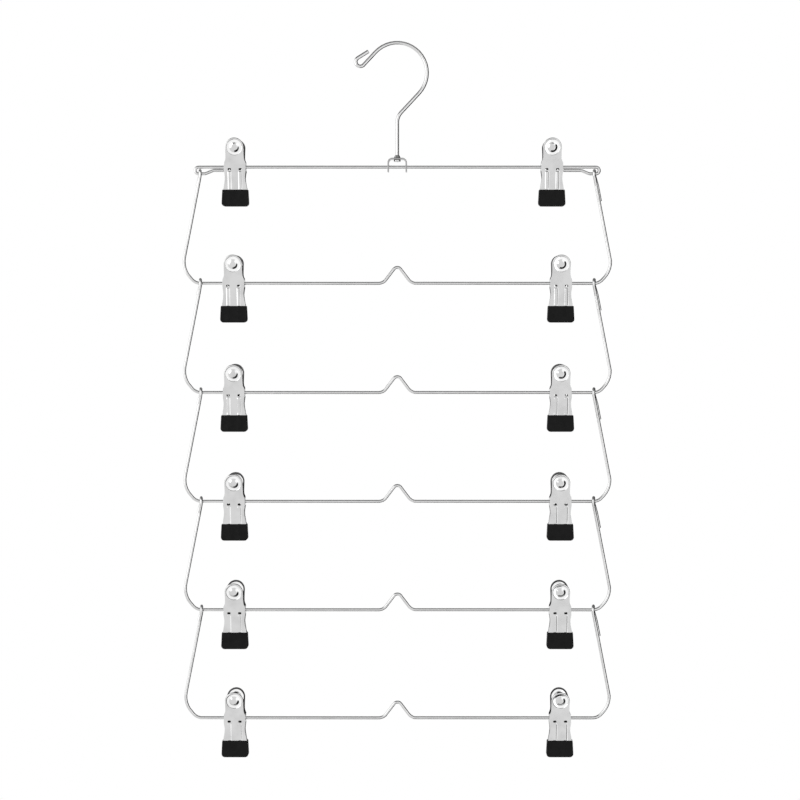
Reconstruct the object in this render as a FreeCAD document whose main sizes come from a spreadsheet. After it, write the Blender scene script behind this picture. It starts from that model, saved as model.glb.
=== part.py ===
# Six-tier skirt hanger: a swivel hook, a top bar, five hanging wire frames and twelve sprung clips.
# Millimetres. The origin is where a rail meets the underside of the hook's crown, +Z is up,
# +X runs along the bars and +Y points away from the front of the hanger.

import FreeCAD
import Part

import math
import os

import Sketcher

Vector = FreeCAD.Vector

SIZES = {
    # hook, bent from one thick wire
    "hook_wire": 3.0,
    "crown_radius": 24.3,
    "crown_left_angle": 47.0,
    "throat_lean": 43.0,
    "throat_bend": 12.0,
    "lip_run": 14.0,
    "lip_curl": 3.7,
    "lip_turn": 195.0,
    "lip_tail": 10.0,
    "collar_radius": 2.7,
    "collar_height": 2.4,
    "head_radius": 2.8,
    "head_height": 1.6,
    "swivel_clearance": 0.1,
    # saddle, a bent strip that joins the hook to the top bar
    "bar_drop": 99.5,
    "saddle_width": 15.9,
    "saddle_rise": 7.3,
    "saddle_fall": 4.1,
    "saddle_strip": 1.2,
    "saddle_depth": 9.0,
    "saddle_shoulder": 4.0,
    "saddle_clearance": 0.1,
    # top bar, with its ends folded back under themselves into eyes
    "bar_wire": 2.5,
    "eye_reach": 162.0,
    "eye_clearance": 0.2,
    "eye_run": 5.5,
    "eye_closing": 6.5,
    "tail_gap": 0.8,
    "fold_gap": 0.45,
    "fold_bend": 5.0,
    # tier frames, each hung on the bar above it by two hairpin loops
    "tier_drop": 89.3,
    "loop_inset": 1.2,
    "loop_clearance": 0.6,
    "loop_slant": 0.5,
    "loop_leg": 1.5,
    "loop_bend": 3.0,
    "loop_closing": 8.0,
    "loop_tail": 12.5,
    "tail_aside": 1.3,
    "turn_run": 4.0,
    "turn_bend": 10.0,
    "side_flare": 14.8,
    "corner_rise": 12.0,
    "corner_radius": 19.0,
    "notch_reach": 11.5,
    "notch_apex": 15.4,
    "notch_foot": 8.0,
    "notch_bend": 3.5,
    # clip plates, pressed from sheet, with ears that turn on the bar
    "clip_inset": 27.3,
    "top_left_inset": 28.8,
    "top_right_inset": 34.8,
    "plate_sheet": 0.8,
    "thumb_radius": 7.5,
    "thumb_height": 15.5,
    "thumb_spread": 9.0,
    "neck_half": 7.3,
    "neck_height": 7.0,
    "waist_half": 8.9,
    "waist_gap": 3.6,
    "waist_rise": 3.0,
    "waist_fall": 4.0,
    "shank_half": 8.2,
    "shank_fall": 9.0,
    "tongue_half": 9.8,
    "tongue_gap": 1.3,
    "jaw_rise": 1.4,
    "ear_radius": 3.2,
    "ear_clearance": 0.15,
    "ear_play": 0.1,
    "dish_margin": 1.2,
    "dish_depth": 0.3,
    "button_radius": 3.0,
    "rib_reach": 4.25,
    "rib_width": 3.0,
    "rib_height": 0.45,
    "slot_fall": 1.4,
    "slot_width": 2.2,
    "slot_height": 1.2,
    # rubber pads that cap the jaws
    "pad_fall": 18.4,
    "pad_bottom": 32.0,
    "pad_wall": 0.7,
    "pad_flare": 0.7,
    "pad_floor": 1.5,
    "pad_cover": 1.1,
    "pad_corner": 3.0,
    "pad_edge": 0.8,
    "pad_clearance": 0.05,
    "bite_gap": 0.2,
    # torsion spring wound round the bar inside each clip
    "spring_wire": 1.0,
    "spring_pitch": 1.6,
    "spring_leg": 13.0,
    "spring_seat": 0.1,
    # cuts run this far past the faces they open
    "overrun": 2.0,
}
# sizes that follow from those above, because the pieces fit each other
FITTED = {
    "eye_radius": "bar_wire + eye_clearance",
    "loop_radius": "bar_wire + loop_clearance",
    "loop_reach": "eye_reach - loop_inset",
    "turn_reach": "loop_reach + turn_run",
    "corner_reach": "loop_reach + side_flare",
    "clip_reach": "loop_reach - clip_inset",
    "top_left_reach": "loop_reach - top_left_inset",
    "top_right_reach": "loop_reach - top_right_inset",
    "left_tail_reach": "top_left_reach + waist_half + tail_gap",
    "right_tail_reach": "top_right_reach + waist_half + tail_gap",
    "dish_radius": "thumb_radius - dish_margin",
    "jaw_fall": "pad_fall - jaw_rise",
    "tongue_fall": "pad_bottom - pad_floor",
    "pad_top_half": "tongue_half + pad_wall",
    "pad_bottom_half": "pad_top_half + pad_flare",
    "pad_depth": "tongue_gap + plate_sheet + pad_cover",
}
SPRING_TURNS = 6
TIERS = range(1, 7)
SIDES = ("left", "right")

doc = FreeCAD.newDocument("skirt_hanger")
sheet = doc.addObject("Spreadsheet::Sheet", "dims")
cells = [(alias, str(number)) for alias, number in SIZES.items()]
cells += [(alias, f"={formula}") for alias, formula in FITTED.items()]
for row, (alias, content) in enumerate(cells, start=1):
    sheet.set(f"A{row}", alias)
    sheet.set(f"B{row}", content)
    sheet.setAlias(f"B{row}", alias)
doc.recompute()

FRONT_VIEW = FreeCAD.Rotation(Vector(1, 0, 0), 90)
SIDE_VIEW = FreeCAD.Rotation(Vector(1, 1, 1), 120)
ALONG_X = FreeCAD.Rotation(Vector(0, 1, 0), 90)
HALF_TURN = FreeCAD.Rotation(Vector(0, 0, 1), 180)


def size(alias):
    return float(sheet.get(alias))


def worked_out(expression):
    return float(sheet.evalExpression(expression))


def make(kind, label, **bindings):
    thing = doc.addObject(kind, label)
    thing.Label = label
    for name, expression in bindings.items():
        thing.setExpression(name, expression)
    return thing


def place(thing, across=None, back=None, up=None, turned=None):
    if turned is not None:
        thing.Placement.Rotation = turned
    for axis, expression in (("x", across), ("y", back), ("z", up)):
        if expression is not None:
            thing.setExpression(f"Placement.Base.{axis}", expression)
    return thing


def join(kind, label, pieces):
    thing = make(kind, label)
    thing.Shapes = pieces
    return thing


def cut(label, base, tool):
    thing = make("Part::Cut", label)
    thing.Base = base
    thing.Tool = tool
    return thing


def draw_outline(sketch, corners):
    # a closed polygon whose corners stay bound to the sheet
    points = [Vector(worked_out(u), worked_out(v), 0) for u, v in corners]
    count = len(points)
    for index, point in enumerate(points):
        sketch.addGeometry(Part.LineSegment(point, points[(index + 1) % count]))
    for index in range(count):
        sketch.addConstraint(Sketcher.Constraint("Coincident", index, 2, (index + 1) % count, 1))
    for index, corner in enumerate(corners):
        for kind, expression in zip(("DistanceX", "DistanceY"), corner):
            start = worked_out(expression)
            number = sketch.addConstraint(Sketcher.Constraint(kind, -1, 1, index, 1, start))
            sketch.setExpression(f"Constraints[{number}]", expression)


def draw_circle(sketch, radius):
    # a circle on the sketch's origin
    circle = sketch.addGeometry(Part.Circle(Vector(), Vector(0, 0, 1), worked_out(radius)))
    sketch.addConstraint(Sketcher.Constraint("Coincident", circle, 3, -1, 1))
    number = sketch.addConstraint(Sketcher.Constraint("Radius", circle, worked_out(radius)))
    sketch.setExpression(f"Constraints[{number}]", radius)


def mirrored(corners):
    # the right half of a symmetric outline, top to bottom, closed by its mirror image
    return corners + [(f"-({u})", v) for u, v in reversed(corners)]


def extrude(label, view, corners, length):
    sketch = make("Sketcher::SketchObject", f"{label}_outline")
    sketch.Placement.Rotation = view
    draw_outline(sketch, corners)
    solid = make("Part::Extrusion", label, LengthFwd=length)
    solid.Base = sketch
    solid.DirMode = "Normal"
    solid.Solid = True
    solid.Symmetric = True
    return solid


def body_sketch(body, label, role, offset=None):
    sketch = body.newObject("Sketcher::SketchObject", label)
    plane = [item for item in body.Origin.OriginFeatures if item.Role == role]
    sketch.AttachmentSupport = (plane[0], [""])
    sketch.MapMode = "FlatFace"
    if offset is not None:
        sketch.setExpression("AttachmentOffset.Base.z", offset)
    return sketch


def body_feature(body, kind, label, profile, **bindings):
    feature = body.newObject(kind, label)
    feature.Profile = profile
    for name, expression in bindings.items():
        feature.setExpression(name, expression)
    return feature


def body_fillet(body, label, base, chosen, radius):
    doc.recompute()
    edges = [f"Edge{n}" for n, edge in enumerate(base.Shape.Edges, start=1) if chosen(edge)]
    fillet = body.newObject("PartDesign::Fillet", label)
    fillet.Base = (base, edges)
    fillet.setExpression("Radius", radius)
    return fillet


def corner_arc(start, corner, end):
    # the arc that leaves start towards corner and reaches end, both as far from corner
    reach = corner.distanceToPoint(start)
    half = (start - corner).getAngle(end - corner) / 2
    inward = (start + end) / 2 - corner
    middle = corner + inward.normalize() * reach * (1 - math.sin(half)) / math.cos(half)
    return Part.Arc(start, middle, end).toShape()


def straight(start, end):
    if start.distanceToPoint(end) > size("bar_wire") / 1000:
        return [Part.LineSegment(start, end).toShape()]
    return []


def bent_path(points, radii):
    # straight runs through the points, with each inner point rounded to its own radius
    edges = []
    here = points[0]
    for before, corner, after, radius in zip(points, points[1:], points[2:], radii):
        turn = (corner - before).getAngle(after - corner)
        reach = radius * math.tan(turn / 2)
        start = corner + (before - corner).normalize() * reach
        end = corner + (after - corner).normalize() * reach
        edges += straight(here, start)
        edges.append(corner_arc(start, corner, end))
        here = end
    return edges + straight(here, points[-1])


def polar(centre, radius, degrees):
    angle = math.radians(degrees)
    return centre + Vector(math.cos(angle), 0, math.sin(angle)) * radius


def arc_about(centre, radius, first, last):
    ends = [polar(centre, radius, angle) for angle in (first, (first + last) / 2, last)]
    return Part.Arc(*ends).toShape()


def swept_wire(label, edges, wire):
    # one round wire along a path of straight runs and tangent arcs
    path = make("Part::Feature", f"{label}_path")
    path.Shape = Part.Wire(edges)
    section = make("Part::Circle", f"{label}_section", Radius=f"dims.{wire} / 2")
    first = edges[0]
    heading = first.tangentAt(first.FirstParameter)
    section.Placement = FreeCAD.Placement(path.Shape.OrderedVertexes[0].Point,
                                          FreeCAD.Rotation(Vector(0, 0, 1), heading))
    tube = make("Part::Sweep", label)
    tube.Sections = [section]
    tube.Spine = (path, [f"Edge{n}" for n in range(1, len(edges) + 1)])
    tube.Solid = True
    doc.recompute()
    expected = path.Shape.Length * math.pi * size(wire) ** 2 / 4
    print(f"{label}: volume {tube.Shape.Volume:.1f}, section times length {expected:.1f}")
    return tube


# Hook: lip, crown and throat in the front plane, with a collar and a peened head on the stem
SADDLE_TOP = "dims.saddle_rise - dims.bar_drop"
HEAD_TOP = f"{SADDLE_TOP} - dims.saddle_strip - dims.swivel_clearance"
HEAD_BOTTOM = f"{HEAD_TOP} - dims.head_height"


def hook_edges():
    crown = Vector(0, 0, size("hook_wire") / 2 - size("crown_radius"))
    radius = size("crown_radius")
    left = 90 + size("crown_left_angle")
    run_start = polar(crown, radius, left)
    run_way = polar(Vector(), 1, left + 90)
    run_end = run_start + run_way * size("lip_run")
    curl = polar(run_end, size("lip_curl"), left)
    curl_first = left - 180
    curl_last = curl_first - size("lip_turn")
    tail_start = polar(curl, size("lip_curl"), curl_last)
    tail_end = tail_start + polar(Vector(), 1, curl_last - 90) * size("lip_tail")
    throat_start = polar(crown, radius, -size("throat_lean"))
    throat_end = Vector(0, 0, throat_start.z - throat_start.x / math.tan(math.radians(size("throat_lean"))))
    foot = Vector(0, 0, worked_out(HEAD_BOTTOM))
    edges = [Part.LineSegment(tail_end, tail_start).toShape()]
    edges.append(arc_about(curl, size("lip_curl"), curl_last, curl_first))
    edges.append(Part.LineSegment(run_end, run_start).toShape())
    edges.append(arc_about(crown, radius, left, -size("throat_lean")))
    return edges + bent_path([throat_start, throat_end, foot], [size("throat_bend")])


def build_hook():
    wire = swept_wire("hook_wire_sweep", hook_edges(), "hook_wire")
    collar = make("Part::Cylinder", "hook_collar", Radius="dims.collar_radius", Height="dims.collar_height")
    place(collar, up=f"{SADDLE_TOP} + dims.swivel_clearance")
    head = make("Part::Cylinder", "hook_head", Radius="dims.head_radius", Height="dims.head_height")
    place(head, up=HEAD_BOTTOM)
    return join("Part::MultiFuse", "hook", [wire, collar, head])


# Saddle: an inverted U of strip, bored for the bar through both legs and for the stem through the top
def build_saddle():
    body = make("PartDesign::Body", "swivel_saddle")
    place(body, up="-dims.bar_drop")
    profile = body_sketch(body, "saddle_profile", "XZ_Plane")
    half = "dims.saddle_width / 2"
    inner = "dims.saddle_width / 2 - dims.saddle_strip"
    under = "dims.saddle_rise - dims.saddle_strip"
    foot = "-dims.saddle_fall"
    draw_outline(profile, [(f"-({half})", foot), (f"-({half})", "dims.saddle_rise"),
                           (half, "dims.saddle_rise"), (half, foot), (inner, foot), (inner, under),
                           (f"-({inner})", under), (f"-({inner})", foot)])
    strip = body_feature(body, "PartDesign::Pad", "saddle_strip_pad", profile, Length="dims.saddle_depth")
    strip.SideType = "Symmetric"
    doc.recompute()

    def shoulder(height):
        def chosen(edge):
            along = edge.BoundBox.YLength > size("saddle_depth") / 2
            return along and abs(edge.BoundBox.ZMin - height) < size("saddle_strip") / 100
        return chosen

    outer = body_fillet(body, "saddle_outer_bend", strip, shoulder(size("saddle_rise")),
                        "dims.saddle_shoulder")
    bend = body_fillet(body, "saddle_inner_bend", outer, shoulder(worked_out(under)),
                       "dims.saddle_shoulder - dims.saddle_strip")
    bar_sketch = body_sketch(body, "saddle_bar_bore", "YZ_Plane")
    draw_circle(bar_sketch, "dims.bar_wire / 2 + dims.saddle_clearance")
    bar_bore = body_feature(body, "PartDesign::Pocket", "saddle_bar_hole", bar_sketch,
                            Length="dims.saddle_width + dims.overrun")
    bar_bore.SideType = "Symmetric"
    stem_sketch = body_sketch(body, "saddle_stem_bore", "XY_Plane")
    draw_circle(stem_sketch, "dims.hook_wire / 2 + dims.swivel_clearance")
    stem_bore = body_feature(body, "PartDesign::Pocket", "saddle_stem_hole", stem_sketch,
                             Length="2 * dims.saddle_rise + dims.overrun")
    stem_bore.SideType = "Symmetric"
    doc.recompute()
    print(f"saddle: bent {bend.Shape.Volume:.1f}, bored {stem_bore.Shape.Volume:.1f}")
    return body


# Top bar: each end turns down through a half circle and runs back under the bar to its clip
def build_top_bar():
    level = -size("bar_drop")
    under = level - 2 * size("eye_radius")
    folded = level - size("bar_wire") - size("fold_gap")
    reach = size("eye_reach")
    bow = reach + size("eye_radius")
    closing = reach - size("eye_run")
    closed = closing - size("eye_closing")
    half = [Vector(bow, 0, level), Vector(bow, 0, under), Vector(closing, 0, under),
            Vector(closed, 0, folded)]
    other = [Vector(-point.x, 0, point.z) for point in reversed(half)]
    left_end = Vector(-size("left_tail_reach"), 0, folded)
    right_end = Vector(size("right_tail_reach"), 0, folded)
    eye = [size("eye_radius"), size("eye_radius")]
    fold = [size("fold_bend"), size("fold_bend")]
    edges = bent_path([left_end] + other + half + [right_end], fold + eye + eye + fold)
    return swept_wire("top_bar", edges, "bar_wire")


# Tier frame: notch, bar, corners and side wires, each end looped over the bar above and laid back
# behind its side wire
def tier_edges(loop_depth):
    level = -size("tier_drop")
    corner_level = level + size("corner_rise")
    inner = size("loop_reach") - size("loop_slant")
    outer = size("loop_reach") + size("loop_slant")
    lean = (inner - size("corner_reach")) / corner_level
    top = math.hypot(loop_depth, size("loop_slant"))
    leg = -size("loop_leg")
    closed = leg - size("loop_closing")
    aside = size("tail_aside") * math.hypot(1, lean)
    behind = math.sqrt((size("bar_wire") + size("fold_gap")) ** 2 - size("tail_aside") ** 2)
    wire_x = inner - closed * lean
    tail = closed - size("loop_tail")
    half = [Vector(size("notch_reach"), 0, level), Vector(size("turn_reach"), 0, level),
            Vector(size("corner_reach"), 0, corner_level), Vector(wire_x, 0, closed),
            Vector(inner, -loop_depth, leg), Vector(inner, -loop_depth, top),
            Vector(outer, loop_depth, top), Vector(outer, loop_depth, leg),
            Vector(wire_x + aside, behind, closed),
            Vector(wire_x + aside - (tail - closed) * lean, behind, tail)]
    other = [Vector(-point.x, point.y, point.z) for point in reversed(half)]
    apex = [Vector(0, 0, level + size("notch_apex"))]
    fold = size("fold_bend")
    leg_bend = size("loop_bend")
    bends = [size("notch_foot"), size("turn_bend"), size("corner_radius"), fold, leg_bend, top, top,
             leg_bend, fold]
    return bent_path(other + apex + half, bends[::-1] + [size("notch_bend")] + bends)


def build_frames():
    first_depth = math.sqrt(size("eye_radius") ** 2 - size("loop_slant") ** 2)
    first = swept_wire("first_frame", tier_edges(first_depth), "bar_wire")
    plain = swept_wire("plain_frame", tier_edges(size("loop_radius")), "bar_wire")
    frames = []
    for tier in TIERS[1:]:
        frame = make("App::Link", f"tier_{tier}_frame")
        frame.LinkedObject = first if tier == TIERS[1] else plain
        place(frame, up=hang_height(tier))
        frames.append(frame)
    return frames


def hang_height(tier):
    # the second tier hangs in the eyes of the top bar, the others on the bar above them
    return f"-dims.bar_drop - 2 * dims.eye_radius - {tier - 2} * dims.tier_drop"


def bar_height(tier):
    if tier == TIERS[0]:
        return "-dims.bar_drop"
    return f"{hang_height(tier)} - dims.tier_drop"


# Clip plate: a bent strip trimmed to the front outline, with two ears on the bar
THUMB_TOP = "(dims.thumb_height + dims.thumb_radius)"
THUMB_RUN = f"({THUMB_TOP} - dims.waist_rise)"
THUMB_FLARE = "(dims.thumb_spread - dims.waist_gap)"
THUMB_LEAN = f"atan({THUMB_FLARE} / {THUMB_RUN})"


def build_strip():
    inner = [("-dims.thumb_spread", THUMB_TOP), ("-dims.waist_gap", "dims.waist_rise"),
             ("-dims.waist_gap", "-dims.waist_fall"), ("-dims.tongue_gap", "-dims.jaw_fall"),
             ("-dims.tongue_gap", "-dims.tongue_fall")]
    outer = [(f"{y} - dims.plate_sheet", z) for y, z in reversed(inner)]
    return extrude("plate_strip", SIDE_VIEW, inner + outer, "2 * dims.tongue_half + dims.overrun")


def build_blade():
    right = [("dims.thumb_radius", "dims.thumb_height"), ("dims.neck_half", "dims.neck_height"),
             ("dims.waist_half", "dims.waist_rise"), ("dims.waist_half", "-dims.waist_fall"),
             ("dims.shank_half", "-dims.shank_fall"), ("dims.tongue_half", "-dims.pad_fall"),
             ("dims.tongue_half", "-dims.tongue_fall")]
    depth = "2 * (dims.thumb_spread + dims.plate_sheet) + dims.overrun"
    lower = extrude("blade_lower", FRONT_VIEW, mirrored(right), depth)
    thumb = make("Part::Cylinder", "blade_thumb", Radius="dims.thumb_radius", Height=depth)
    place(thumb, back=f"({depth}) / 2", up="dims.thumb_height", turned=FRONT_VIEW)
    return join("Part::MultiFuse", "blade", [lower, thumb])


def build_ear(label, inner_face):
    web = make("Part::Box", f"{label}_web", Length="dims.plate_sheet", Height="2 * dims.ear_radius",
               Width="dims.waist_gap + dims.plate_sheet / 2")
    place(web, across=inner_face, back="-dims.waist_gap - dims.plate_sheet / 2", up="-dims.ear_radius")
    eye = make("Part::Cylinder", f"{label}_eye", Radius="dims.ear_radius", Height="dims.plate_sheet")
    place(eye, across=inner_face, turned=ALONG_X)
    return [web, eye]


def build_dish():
    # a ring pressed into the thumb end, square to its lean, round a flat button
    slope = f"{THUMB_FLARE} / {THUMB_RUN}"
    face = f"dims.waist_gap + dims.plate_sheet + (dims.thumb_height - dims.waist_rise) * {slope}"
    discs = []
    for label, radius in (("dish_ring", "dims.dish_radius"), ("dish_button", "dims.button_radius")):
        disc = make("Part::Cylinder", label, Radius=radius, Height="dims.dish_depth + dims.overrun")
        place(disc, back=f"dims.dish_depth * cos({THUMB_LEAN}) - ({face})",
              up=f"dims.thumb_height + dims.dish_depth * sin({THUMB_LEAN})",
              turned=FreeCAD.Rotation(Vector(1, 0, 0), 90))
        disc.setExpression("Placement.Rotation.Angle", f"90 deg + {THUMB_LEAN}")
        discs.append(disc)
    return cut("dish", *discs)


def build_ribs_and_slots():
    lean = "atan((dims.waist_gap - dims.tongue_gap) / (dims.jaw_fall - dims.waist_fall))"
    ribs = []
    slots = []
    for side, sign in zip(SIDES, ("-", "")):
        centre = f"{sign}dims.rib_reach"
        rib = make("Part::Box", f"rib_{side}", Length="dims.rib_width",
                   Width="dims.rib_height + dims.plate_sheet / 2", Height="dims.jaw_fall - dims.waist_fall")
        place(rib, across=f"{centre} - dims.rib_width / 2", up="-dims.jaw_fall",
              back="-dims.tongue_gap - dims.plate_sheet - dims.rib_height",
              turned=FreeCAD.Rotation(Vector(1, 0, 0), 1))
        rib.setExpression("Placement.Rotation.Angle", lean)
        ribs.append(rib)
        slot = make("Part::Box", f"slot_{side}", Length="dims.slot_width", Height="dims.slot_height",
                    Width="dims.plate_sheet + dims.overrun")
        place(slot, across=f"{centre} - dims.slot_width / 2", up="-dims.slot_fall - dims.slot_height",
              back="-dims.waist_gap - dims.plate_sheet - dims.overrun / 2")
        slots.append(slot)
    return ribs, slots


def build_plate():
    trimmed = join("Part::MultiCommon", "plate_blank", [build_strip(), build_blade()])
    outer_ear = build_ear("outer_ear", "-dims.waist_half")
    inner_ear = build_ear("inner_ear", "dims.waist_half - 2 * dims.plate_sheet - dims.ear_play")
    ribs, slots = build_ribs_and_slots()
    solid = join("Part::MultiFuse", "plate_solid", [trimmed] + outer_ear + inner_ear + ribs)
    bore = make("Part::Cylinder", "plate_bore", Radius="dims.bar_wire / 2 + dims.ear_clearance",
                Height="2 * dims.waist_half + dims.overrun")
    place(bore, across="-dims.waist_half - dims.overrun / 2", turned=ALONG_X)
    openings = join("Part::MultiFuse", "plate_openings", [build_dish(), bore] + slots)
    return cut("plate", solid, openings)


# Pad: a rubber cap with rounded lower corners, slotted for the end of the plate
def build_pad():
    body = make("PartDesign::Body", "pad")
    face = body_sketch(body, "pad_face", "XZ_Plane", "dims.bite_gap / 2")
    draw_outline(face, mirrored([("dims.pad_top_half", "-dims.pad_fall"),
                                 ("dims.pad_bottom_half", "-dims.pad_bottom")]))
    block = body_feature(body, "PartDesign::Pad", "pad_block", face,
                         Length="dims.pad_depth - dims.bite_gap / 2")

    def lower_corner(edge):
        through = edge.BoundBox.YLength > size("pad_depth") / 2
        return through and edge.BoundBox.ZMax < -size("pad_bottom") + size("pad_corner") / 2

    def front_rim(edge):
        return edge.BoundBox.YMax < -size("pad_depth") + size("pad_edge") / 10

    rounded = body_fillet(body, "pad_corners", block, lower_corner, "dims.pad_corner")
    softened = body_fillet(body, "pad_rim", rounded, front_rim, "dims.pad_edge")
    mouth = body_sketch(body, "pad_mouth", "XY_Plane", "-dims.pad_fall")
    half = "dims.tongue_half + dims.pad_clearance"
    draw_outline(mouth, mirrored([(half, "dims.pad_clearance - dims.tongue_gap"),
                                  (half, "-dims.tongue_gap - dims.plate_sheet - dims.pad_clearance")]))
    slot = body_feature(body, "PartDesign::Pocket", "pad_slot", mouth,
                        Length="dims.tongue_fall + dims.pad_clearance - dims.pad_fall")
    doc.recompute()
    print(f"pad: block {softened.Shape.Volume:.1f}, slotted {slot.Shape.Volume:.1f}")
    return body


# Spring: coils round the bar, with a leg up the inner face of each thumb plate
def biarc(start, start_way, end, end_way):
    across = end - start
    ways = start_way + end_way
    along = across.dot(ways)
    closing = 2 * (1 - start_way.dot(end_way))
    reach = (math.sqrt(along ** 2 + closing * across.dot(across)) - along) / closing
    first = start + start_way * reach
    second = end - end_way * reach
    middle = (first + second) / 2
    return [corner_arc(start, first, middle), corner_arc(middle, second, end)]


def spring_edges():
    lean = math.atan(worked_out(f"{THUMB_FLARE} / {THUMB_RUN}"))
    face = size("waist_gap") * math.cos(lean) - size("waist_rise") * math.sin(lean)
    radius = face - size("spring_wire") / 2 - size("spring_seat")
    first = math.pi + lean
    last = 2 * math.pi * SPRING_TURNS - lean
    steps = math.ceil((last - first) / (math.pi / 2))
    climb = size("spring_pitch") / (2 * math.pi)
    stations = []
    for step in range(steps + 1):
        angle = first + (last - first) * step / steps
        place_x = climb * (angle - (first + last) / 2)
        point = Vector(place_x, radius * math.cos(angle), radius * math.sin(angle))
        ends_here = step in (0, steps)
        way = Vector(0 if ends_here else climb, -radius * math.sin(angle), radius * math.cos(angle))
        stations.append((point, way.normalize()))
    edges = []
    begin, begin_way = stations[0]
    edges.append(Part.LineSegment(begin - begin_way * size("spring_leg"), begin).toShape())
    for (start, start_way), (end, end_way) in zip(stations, stations[1:]):
        edges += biarc(start, start_way, end, end_way)
    finish, finish_way = stations[-1]
    edges.append(Part.LineSegment(finish, finish + finish_way * size("spring_leg")).toShape())
    return edges


def least_self_gap(edges, wire):
    # points along the path, each compared with those that lie further on than four wire widths
    points = []
    for edge in edges:
        count = max(2, math.ceil(8 * edge.Length / wire))
        points += edge.discretize(Number=count)[:-1]
    travelled = [0]
    for before, after in zip(points, points[1:]):
        travelled.append(travelled[-1] + before.distanceToPoint(after))
    gaps = []
    for first, point in enumerate(points):
        for second in range(first + 1, len(points)):
            if travelled[second] - travelled[first] > 4 * wire:
                gaps.append(point.distanceToPoint(points[second]) - wire)
    return min(gaps)


def build_spring():
    edges = spring_edges()
    print(f"spring: least gap to itself {least_self_gap(edges, size('spring_wire')):.2f} mm")
    return swept_wire("spring", edges, "spring_wire")


def turned_copy(label, master):
    copy = make("App::Link", label)
    copy.LinkedObject = master
    copy.Placement = FreeCAD.Placement(Vector(), HALF_TURN)
    return copy


def clip_place(tier, side):
    sign = "-" if side == "left" else ""
    reach = f"top_{side}_reach" if tier == TIERS[0] else "clip_reach"
    return f"{sign}dims.{reach}"


def build_clips():
    plate = build_plate()
    pad = build_pad()
    back_jaw = make("Part::Compound", "back_jaw")
    back_jaw.Links = [turned_copy("back_plate", plate), turned_copy("back_pad", pad)]
    masters = {"spring": build_spring(), "front_plate": plate, "front_pad": pad, "back_jaw": back_jaw}
    pieces = []
    for tier in TIERS:
        for side in SIDES:
            for name, master in masters.items():
                piece = make("App::Link", f"clip_{tier}_{side}_{name}")
                piece.LinkedObject = master
                place(piece, across=clip_place(tier, side), up=bar_height(tier))
                pieces.append(piece)
    return pieces


nodes = [build_hook(), build_saddle(), build_top_bar()] + build_frames() + build_clips()
doc.recompute()

failed = [item.Label for item in doc.Objects if {"Invalid", "Error"} & set(item.State)]
if failed:
    raise RuntimeError(f"objects failed to compute: {failed}")
for node in nodes:
    if node.Shape.isNull() or not node.Shape.isValid():
        raise RuntimeError(f"{node.Label} has no valid shape")

os.makedirs("parts", exist_ok=True)
for node in nodes:
    node.Shape.exportStep(f"parts/{node.Label}.step")
print(f"{len(nodes)} sub-parts written")
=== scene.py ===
# Skirt hanger: a swivel hook, a top bar, five hinged wire frames and twelve sprung clips.
# Metres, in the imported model's frame. Sizes of pieces are typed in millimetres and turned with mm.
import bmesh
import bpy
import math
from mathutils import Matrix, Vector


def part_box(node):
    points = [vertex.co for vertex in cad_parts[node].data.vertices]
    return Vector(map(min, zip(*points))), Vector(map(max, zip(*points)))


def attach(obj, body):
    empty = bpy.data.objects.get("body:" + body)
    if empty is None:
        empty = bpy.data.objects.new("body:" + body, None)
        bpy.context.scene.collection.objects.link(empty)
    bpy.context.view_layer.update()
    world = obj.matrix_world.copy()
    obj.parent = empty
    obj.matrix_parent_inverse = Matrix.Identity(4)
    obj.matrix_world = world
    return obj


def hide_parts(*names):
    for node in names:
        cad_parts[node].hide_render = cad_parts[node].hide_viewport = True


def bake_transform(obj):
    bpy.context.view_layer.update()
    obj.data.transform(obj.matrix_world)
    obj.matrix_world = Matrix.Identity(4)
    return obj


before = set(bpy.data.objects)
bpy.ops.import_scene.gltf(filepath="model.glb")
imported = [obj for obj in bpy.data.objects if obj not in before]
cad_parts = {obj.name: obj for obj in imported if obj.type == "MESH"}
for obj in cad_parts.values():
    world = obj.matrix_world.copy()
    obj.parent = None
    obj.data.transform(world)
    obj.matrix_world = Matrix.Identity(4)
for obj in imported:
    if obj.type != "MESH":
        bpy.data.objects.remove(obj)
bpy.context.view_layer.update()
mm = 0.001
rows = range(1, 7)
sides = ("left", "right")
making = {"smoothAngle": 40, "bevelAngle": 50, "boreSides": 40, "facing": 0.9,
          "touch": 0.02, "weld": 0.01}  # touch and weld are distances that count as none
wireWork = {"sides": 18, "stepAngle": 9, "fewestSteps": 2, "endInset": 0.12, "endLift": 0.06}
print("frame loaded:", len(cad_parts), "nodes")


# shared moves

def clearSelection():
    if bpy.context.mode != "OBJECT":
        bpy.ops.object.mode_set(mode="OBJECT")
    bpy.ops.object.select_all(action="DESELECT")


def choose(piece):
    clearSelection()
    piece.select_set(True)
    bpy.context.view_layer.objects.active = piece


def settle(piece):
    # place and turn go into the mesh, so the object sits at the origin
    choose(piece)
    bpy.ops.object.transform_apply(location=True, rotation=True, scale=True)


def edit(piece):
    choose(piece)
    bpy.ops.object.mode_set(mode="EDIT")
    bpy.ops.mesh.select_all(action="DESELECT")


def pick(kind, test):
    bpy.ops.mesh.select_mode(type=kind)
    bpy.ops.mesh.select_all(action="DESELECT")
    mesh = bpy.context.object.data
    shape = bmesh.from_edit_mesh(mesh)
    for item in {"VERT": shape.verts, "EDGE": shape.edges, "FACE": shape.faces}[kind]:
        if test(item):
            item.select_set(True)
    shape.select_flush_mode()
    bmesh.update_edit_mesh(mesh)


def vertSpot(vert):
    return vert.co / mm


def edgeSpot(edge):
    return (edge.verts[0].co + edge.verts[1].co) / 2 / mm


def faceSpot(face):
    return face.calc_center_median() / mm


def between(value, low, high):
    return low < value < high


def extrude(step):
    bpy.ops.mesh.extrude_region_move(TRANSFORM_OT_translate={"value": step})


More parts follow.
